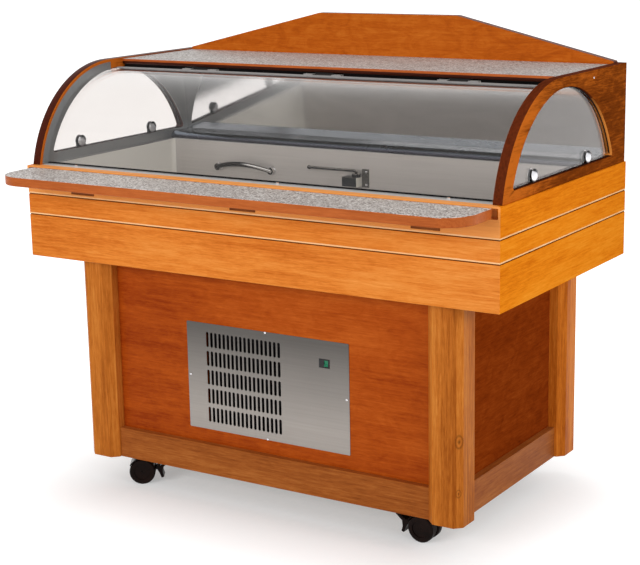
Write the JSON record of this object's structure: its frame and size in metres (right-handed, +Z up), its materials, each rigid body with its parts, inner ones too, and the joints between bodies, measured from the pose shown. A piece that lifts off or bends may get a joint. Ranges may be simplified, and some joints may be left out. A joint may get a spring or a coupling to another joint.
{
  "type": "fish buffet counter",
  "caption": "Wooden refrigerated buffet counter with a deep steel well, curved lift-up glass, fold-down tray, arched side windows and castors.",
  "frame": {"origin": "centre of the footprint, tray included, on the floor under the wheels", "axes": "+Z up, +X along the counter's length to the right as the guest sees it, the guest's side with the tray and the curved glass faces -Y"},
  "size_m": [1.48, 0.942, 1.318],
  "materials": {
    "apron_wood": "satin",
    "hood_wood": "satin",
    "leg_wood": "satin",
    "panel_wood": "satin",
    "board_wood": "matte",
    "tray_laminate": "satin",
    "steel": "satin",
    "mirror_steel": "polished",
    "chrome": "polished",
    "clear_glass": "gloss",
    "lamp_white": "satin",
    "tube_glass": "gloss",
    "foam": "matte",
    "black_plastic": "matte",
    "grey_tread": "matte",
    "rocker_green": "gloss",
    "black_steel": "satin",
    "fin_aluminium": "satin",
    "copper": "satin",
    "zinc_steel": "satin"
  },
  "bodies": {
    "cabinet": {"front_apron": "apron_wood", "rear_apron": "apron_wood", "left_apron": "apron_wood", "right_apron": "apron_wood", "leg_front_left": "leg_wood", "leg_front_right": "leg_wood", "leg_rear_left": "leg_wood", "leg_rear_right": "leg_wood", "front_rail": "panel_wood", "rear_rail": "panel_wood", "left_rail": "panel_wood", "right_rail": "panel_wood", "front_panel": "panel_wood", "rear_panel": "panel_wood", "left_panel": "panel_wood", "right_panel": "panel_wood", "base_board": "board_wood", "deck_board": "board_wood", "well_tank": "steel", "well_insulation": "foam", "rear_ledge": "steel", "back_panel": "mirror_steel", "left_cheek": "hood_wood", "right_cheek": "hood_wood", "left_liner": "steel", "right_liner": "steel", "left_window": "clear_glass", "right_window": "clear_glass", "window_clamps": "chrome", "top_shelf": "hood_wood", "crown_board": "hood_wood", "glass_hinges": "steel", "lamp_housing": "lamp_white", "lamp_tube": "tube_glass", "flap_hinges_fixed": "zinc_steel", "bow_handle": "chrome", "latch_body": "chrome", "grille_plate": "steel", "switch_bezel": "black_plastic", "compressor": "black_steel", "condenser": "fin_aluminium", "refrigerant_lines": "copper", "castor_plates": "zinc_steel"},
    "display_glass": {"front_glass": "clear_glass", "glass_rail": "steel"},
    "tray": {"tray_flap": "tray_laminate", "flap_hinges_moving": "zinc_steel"},
    "latch_lever": {"latch_lever": "chrome"},
    "rocker": {"switch_rocker": "rocker_green"},
    "fan": {"fan": "black_plastic"},
    "hood_front_left": {"castor_hood_front_left": "black_plastic"},
    "wheels_front_left": {"castor_wheels_front_left": "grey_tread"},
    "pedal_front_left": {"castor_pedal_front_left": "black_plastic"},
    "hood_front_right": {"castor_hood_front_right": "black_plastic"},
    "wheels_front_right": {"castor_wheels_front_right": "grey_tread"},
    "pedal_front_right": {"castor_pedal_front_right": "black_plastic"},
    "hood_rear_left": {"castor_hood_rear_left": "black_plastic"},
    "wheels_rear_left": {"castor_wheels_rear_left": "grey_tread"},
    "hood_rear_right": {"castor_hood_rear_right": "black_plastic"},
    "wheels_rear_right": {"castor_wheels_rear_right": "grey_tread"}
  },
  "joints": [
    {"name": "glass_lift", "type": "hinge", "parent": "cabinet", "child": "display_glass", "pos_m": [0, 0.09153, 1.171], "axis": [-1, 0, 0], "range_deg": [0, 65]},
    {"name": "tray_fold", "type": "hinge", "parent": "cabinet", "child": "tray", "pos_m": [0, -0.3128, 0.8972], "axis": [1, 0, 0], "range_deg": [0, 90]},
    {"name": "latch_turn", "type": "hinge", "parent": "cabinet", "child": "latch_lever", "pos_m": [-0.0225, 0.301, 0.857], "axis": [0, 0, 1], "range_deg": [0, 90]},
    {"name": "switch_rock", "type": "hinge", "parent": "cabinet", "child": "rocker", "pos_m": [0.1905, -0.2125, 0.45], "axis": [1, 0, 0], "range_deg": [0, 16]},
    {"name": "fan_spin", "type": "hinge", "parent": "cabinet", "child": "fan", "pos_m": [-0.079, -0.119, 0.359], "axis": [0, 1, 0], "continuous": true},
    {"name": "swivel_front_left", "type": "hinge", "parent": "cabinet", "child": "hood_front_left", "pos_m": [-0.438, -0.182, 0.097], "axis": [0, 0, 1], "continuous": true},
    {"name": "roll_front_left", "type": "hinge", "parent": "hood_front_left", "child": "wheels_front_left", "pos_m": [-0.46148, -0.19725, 0.0375], "axis": [-0.5446, 0.8387, 0], "continuous": true},
    {"name": "brake_front_left", "type": "hinge", "parent": "hood_front_left", "child": "pedal_front_left", "pos_m": [-0.4229, -0.1722, 0.0455], "axis": [-0.5446, 0.8387, 0], "range_deg": [0, 12]},
    {"name": "swivel_front_right", "type": "hinge", "parent": "cabinet", "child": "hood_front_right", "pos_m": [0.438, -0.182, 0.097], "axis": [0, 0, 1], "continuous": true},
    {"name": "roll_front_right", "type": "hinge", "parent": "hood_front_right", "child": "wheels_front_right", "pos_m": [0.466, -0.182, 0.0375], "axis": [0, -1, 0], "continuous": true},
    {"name": "brake_front_right", "type": "hinge", "parent": "hood_front_right", "child": "pedal_front_right", "pos_m": [0.42, -0.182, 0.0455], "axis": [0, -1, 0], "range_deg": [0, 12]},
    {"name": "swivel_rear_left", "type": "hinge", "parent": "cabinet", "child": "hood_rear_left", "pos_m": [-0.438, 0.393, 0.097], "axis": [0, 0, 1], "continuous": true},
    {"name": "roll_rear_left", "type": "hinge", "parent": "hood_rear_left", "child": "wheels_rear_left", "pos_m": [-0.466, 0.393, 0.0375], "axis": [0, 1, 0], "continuous": true},
    {"name": "swivel_rear_right", "type": "hinge", "parent": "cabinet", "child": "hood_rear_right", "pos_m": [0.438, 0.393, 0.097], "axis": [0, 0, 1], "continuous": true},
    {"name": "roll_rear_right", "type": "hinge", "parent": "hood_rear_right", "child": "wheels_rear_right", "pos_m": [0.466, 0.393, 0.0375], "axis": [0, -1, 0], "continuous": true}
  ]
}
